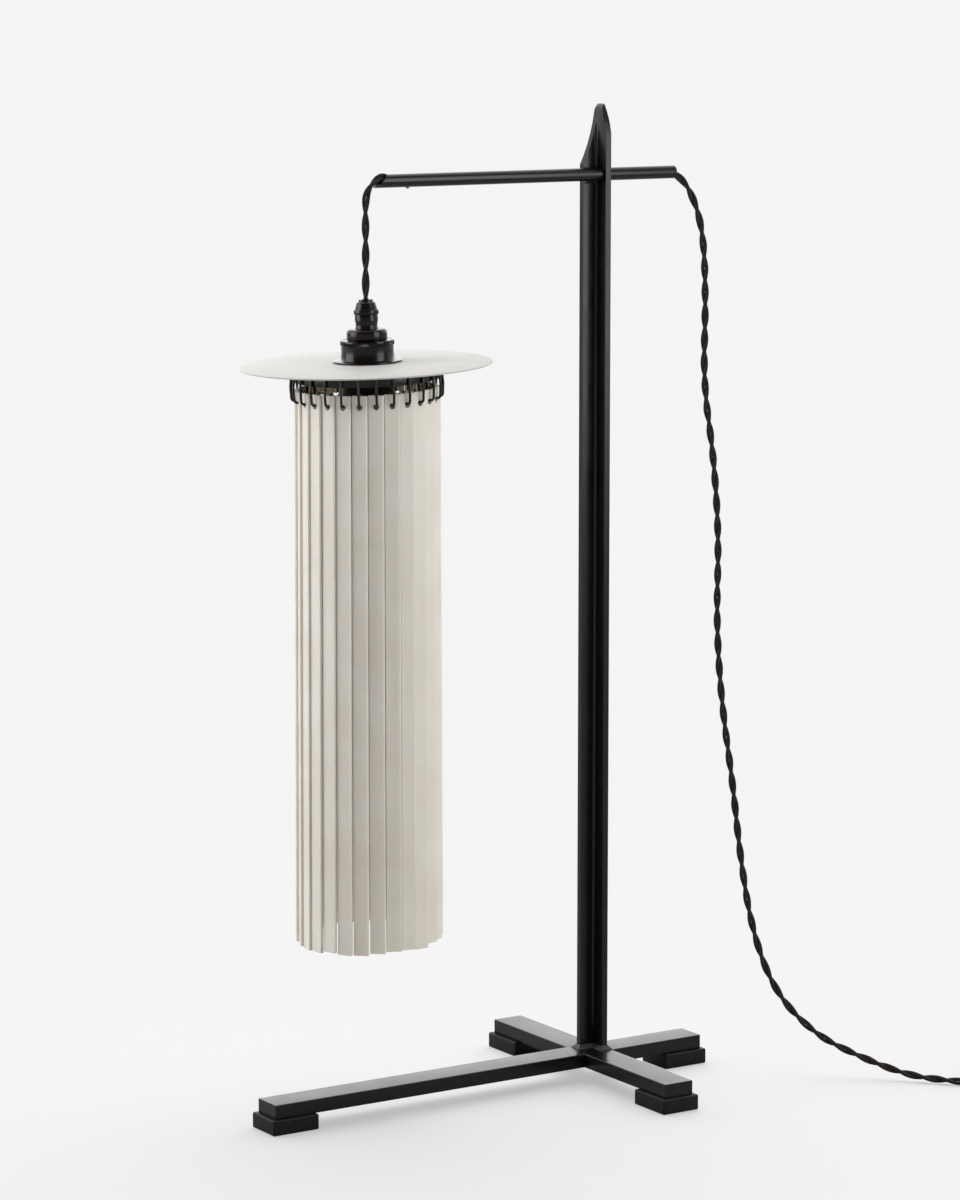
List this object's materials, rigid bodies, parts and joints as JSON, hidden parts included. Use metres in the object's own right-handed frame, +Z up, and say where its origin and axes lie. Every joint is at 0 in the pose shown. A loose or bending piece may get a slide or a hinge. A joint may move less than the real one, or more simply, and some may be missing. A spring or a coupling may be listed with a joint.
{
  "type": "table lamp",
  "caption": "Table lamp with a shade of hanging porcelain strips under a disc, hung by its cord from a welded steel cross stand.",
  "frame": {"origin": "on the table under the middle of the lamp, leaving out the supply cord", "axes": "+Z up along the mast; X along the long foot bar and the arm, with the shade at -X; -Y towards the front foot"},
  "size_m": [0.6769, 0.3534, 0.7708],
  "materials": {
    "black_steel": "satin black",
    "rubber_feet": "matte",
    "cord_fabric": "twisted fabric cord, dark brown",
    "lampholder": "glossy dark bronze",
    "insulator": "plain",
    "brass": "plain",
    "bulb_metal": "plain",
    "bulb_glass": "frosted",
    "plug_plastic": "matte",
    "screw_steel": "plain",
    "porcelain": "unglazed, warm white"
  },
  "bodies": {
    "stand": {"base_long_bar": "black_steel", "base_front_arm": "black_steel", "base_back_arm": "black_steel", "foot_left": "rubber_feet", "foot_right": "rubber_feet", "foot_front": "rubber_feet", "foot_back": "rubber_feet", "mast": "black_steel", "foot_weld": "black_steel", "tube_weld": "black_steel", "arm_tube": "black_steel", "grub_screw": "screw_steel", "cord_in_tube": "cord_fabric", "supply_cord": "cord_fabric", "supply_coil": "cord_fabric", "plug_body": "plug_plastic", "plug_pins": "brass"},
    "mouth_cord": {"cord_bend": "cord_fabric"},
    "drop_cord": {"cord_drop": "cord_fabric"},
    "lamp_head": {"grip_nut": "lampholder", "grip_body": "lampholder", "holder_cap": "lampholder", "holder_body": "lampholder", "holder_insert": "insulator", "screw_shell": "brass", "upper_ring": "lampholder", "lower_ring": "lampholder", "disc": "porcelain", "hook_pan": "black_steel", "hooks": "black_steel", "bulb_base": "bulb_metal", "bulb_glass": "bulb_glass"},
    "hung_strip_01": {"strip_01": "porcelain"},
    "hung_strip_02": {"strip_02": "porcelain"},
    "hung_strip_03": {"strip_03": "porcelain"},
    "hung_strip_04": {"strip_04": "porcelain"},
    "hung_strip_05": {"strip_05": "porcelain"},
    "hung_strip_06": {"strip_06": "porcelain"},
    "hung_strip_07": {"strip_07": "porcelain"},
    "hung_strip_08": {"strip_08": "porcelain"},
    "hung_strip_09": {"strip_09": "porcelain"},
    "hung_strip_10": {"strip_10": "porcelain"},
    "hung_strip_11": {"strip_11": "porcelain"},
    "hung_strip_12": {"strip_12": "porcelain"},
    "hung_strip_13": {"strip_13": "porcelain"},
    "hung_strip_14": {"strip_14": "porcelain"},
    "hung_strip_15": {"strip_15": "porcelain"},
    "hung_strip_16": {"strip_16": "porcelain"},
    "hung_strip_17": {"strip_17": "porcelain"},
    "hung_strip_18": {"strip_18": "porcelain"},
    "hung_strip_19": {"strip_19": "porcelain"},
    "hung_strip_20": {"strip_20": "porcelain"},
    "hung_strip_21": {"strip_21": "porcelain"},
    "hung_strip_22": {"strip_22": "porcelain"},
    "hung_strip_23": {"strip_23": "porcelain"},
    "hung_strip_24": {"strip_24": "porcelain"},
    "hung_strip_25": {"strip_25": "porcelain"},
    "hung_strip_26": {"strip_26": "porcelain"},
    "hung_strip_27": {"strip_27": "porcelain"}
  },
  "joints": [
    {"name": "swing_sideways", "type": "hinge", "parent": "stand", "child": "mouth_cord", "pos_m": [-0.0974, -0.00005, 0.7166], "axis": [1, 0, 0], "range_deg": [-8, 8]},
    {"name": "swing_along_arm", "type": "hinge", "parent": "mouth_cord", "child": "drop_cord", "pos_m": [-0.1084, -0.00005, 0.7054], "axis": [0, 1, 0], "range_deg": [-6, 6]},
    {"name": "twist_on_cord", "type": "hinge", "parent": "drop_cord", "child": "lamp_head", "pos_m": [-0.1084, -0.00005, 0.6292], "axis": [0, 0, 1], "range_deg": [-60, 60]},
    {"name": "strip_01_swing", "type": "hinge", "parent": "lamp_head", "child": "hung_strip_01", "pos_m": [-0.13927, -0.04176, 0.55358], "axis": [-0.7946, 0.6071, 0], "range_deg": [0, 5]},
    {"name": "strip_02_swing", "type": "hinge", "parent": "lamp_head", "child": "hung_strip_02", "pos_m": [-0.1288, -0.04799, 0.55394], "axis": [-0.9132, 0.4076, 0], "range_deg": [0, 5]},
    {"name": "strip_03_swing", "type": "hinge", "parent": "lamp_head", "child": "hung_strip_03", "pos_m": [-0.11718, -0.05163, 0.55435], "axis": [-0.9825, 0.1861, 0], "range_deg": [0, 5]},
    {"name": "strip_04_swing", "type": "hinge", "parent": "lamp_head", "child": "hung_strip_04", "pos_m": [-0.10503, -0.0525, 0.55477], "axis": [-0.999, -0.0453, 0], "range_deg": [0, 5]},
    {"name": "strip_05_swing", "type": "hinge", "parent": "lamp_head", "child": "hung_strip_05", "pos_m": [-0.093, -0.05053, 0.55519], "axis": [-0.9616, -0.2744, 0], "range_deg": [0, 5]},
    {"name": "strip_06_swing", "type": "hinge", "parent": "lamp_head", "child": "hung_strip_06", "pos_m": [-0.08176, -0.04585, 0.55558], "axis": [-0.8725, -0.4886, 0], "range_deg": [0, 5]},
    {"name": "strip_07_swing", "type": "hinge", "parent": "lamp_head", "child": "hung_strip_07", "pos_m": [-0.07189, -0.0387, 0.55593], "axis": [-0.7363, -0.6767, 0], "range_deg": [0, 5]},
    {"name": "strip_08_swing", "type": "hinge", "parent": "lamp_head", "child": "hung_strip_08", "pos_m": [-0.06394, -0.02946, 0.55621], "axis": [-0.5604, -0.8282, 0], "range_deg": [0, 5]},
    {"name": "strip_09_swing", "type": "hinge", "parent": "lamp_head", "child": "hung_strip_09", "pos_m": [-0.05834, -0.01864, 0.5564], "axis": [-0.3542, -0.9352, 0], "range_deg": [0, 5]},
    {"name": "strip_10_swing", "type": "hinge", "parent": "lamp_head", "child": "hung_strip_10", "pos_m": [-0.05538, -0.00681, 0.55651], "axis": [-0.1289, -0.9917, 0], "range_deg": [0, 5]},
    {"name": "strip_11_swing", "type": "hinge", "parent": "lamp_head", "child": "hung_strip_11", "pos_m": [-0.05522, 0.00538, 0.55651], "axis": [0.1034, -0.9946, 0], "range_deg": [0, 5]},
    {"name": "strip_12_swing", "type": "hinge", "parent": "lamp_head", "child": "hung_strip_12", "pos_m": [-0.05788, 0.01727, 0.55642], "axis": [0.3301, -0.9439, 0], "range_deg": [0, 5]},
    {"name": "strip_13_swing", "type": "hinge", "parent": "lamp_head", "child": "hung_strip_13", "pos_m": [-0.0632, 0.02823, 0.55623], "axis": [0.539, -0.8423, 0], "range_deg": [0, 5]},
    {"name": "strip_14_swing", "type": "hinge", "parent": "lamp_head", "child": "hung_strip_14", "pos_m": [-0.07092, 0.03767, 0.55596], "axis": [0.7187, -0.6953, 0], "range_deg": [0, 5]},
    {"name": "strip_15_swing", "type": "hinge", "parent": "lamp_head", "child": "hung_strip_15", "pos_m": [-0.08059, 0.04508, 0.55563], "axis": [0.8597, -0.5108, 0], "range_deg": [0, 5]},
    {"name": "strip_16_swing", "type": "hinge", "parent": "lamp_head", "child": "hung_strip_16", "pos_m": [-0.09172, 0.05005, 0.55524], "axis": [0.9543, -0.2989, 0], "range_deg": [0, 5]},
    {"name": "strip_17_swing", "type": "hinge", "parent": "lamp_head", "child": "hung_strip_17", "pos_m": [-0.10368, 0.05232, 0.55482], "axis": [0.9975, -0.0709, 0], "range_deg": [0, 5]},
    {"name": "strip_18_swing", "type": "hinge", "parent": "lamp_head", "child": "hung_strip_18", "pos_m": [-0.11585, 0.05176, 0.55439], "axis": [0.987, 0.1609, 0], "range_deg": [0, 5]},
    {"name": "strip_19_swing", "type": "hinge", "parent": "lamp_head", "child": "hung_strip_19", "pos_m": [-0.12757, 0.04842, 0.55398], "axis": [0.9233, 0.3841, 0], "range_deg": [0, 5]},
    {"name": "strip_20_swing", "type": "hinge", "parent": "lamp_head", "child": "hung_strip_20", "pos_m": [-0.1382, 0.04246, 0.55361], "axis": [0.8099, 0.5866, 0], "range_deg": [0, 5]},
    {"name": "strip_21_swing", "type": "hinge", "parent": "lamp_head", "child": "hung_strip_21", "pos_m": [-0.14716, 0.03421, 0.5533], "axis": [0.6528, 0.7576, 0], "range_deg": [0, 5]},
    {"name": "strip_22_swing", "type": "hinge", "parent": "lamp_head", "child": "hung_strip_22", "pos_m": [-0.15399, 0.02411, 0.55306], "axis": [0.4604, 0.8877, 0], "range_deg": [0, 5]},
    {"name": "strip_23_swing", "type": "hinge", "parent": "lamp_head", "child": "hung_strip_23", "pos_m": [-0.1583, 0.01271, 0.55291], "axis": [0.2432, 0.97, 0], "range_deg": [0, 5]},
    {"name": "strip_24_swing", "type": "hinge", "parent": "lamp_head", "child": "hung_strip_24", "pos_m": [-0.15987, 0.00062, 0.55286], "axis": [0.0128, 0.9999, 0], "range_deg": [0, 5]},
    {"name": "strip_25_swing", "type": "hinge", "parent": "lamp_head", "child": "hung_strip_25", "pos_m": [-0.15861, -0.0115, 0.5529], "axis": [-0.2183, 0.9759, 0], "range_deg": [0, 5]},
    {"name": "strip_26_swing", "type": "hinge", "parent": "lamp_head", "child": "hung_strip_26", "pos_m": [-0.15459, -0.02301, 0.55304], "axis": [-0.4375, 0.8992, 0], "range_deg": [0, 5]},
    {"name": "strip_27_swing", "type": "hinge", "parent": "lamp_head", "child": "hung_strip_27", "pos_m": [-0.14803, -0.03328, 0.55327], "axis": [-0.6332, 0.774, 0], "range_deg": [0, 5]}
  ]
}
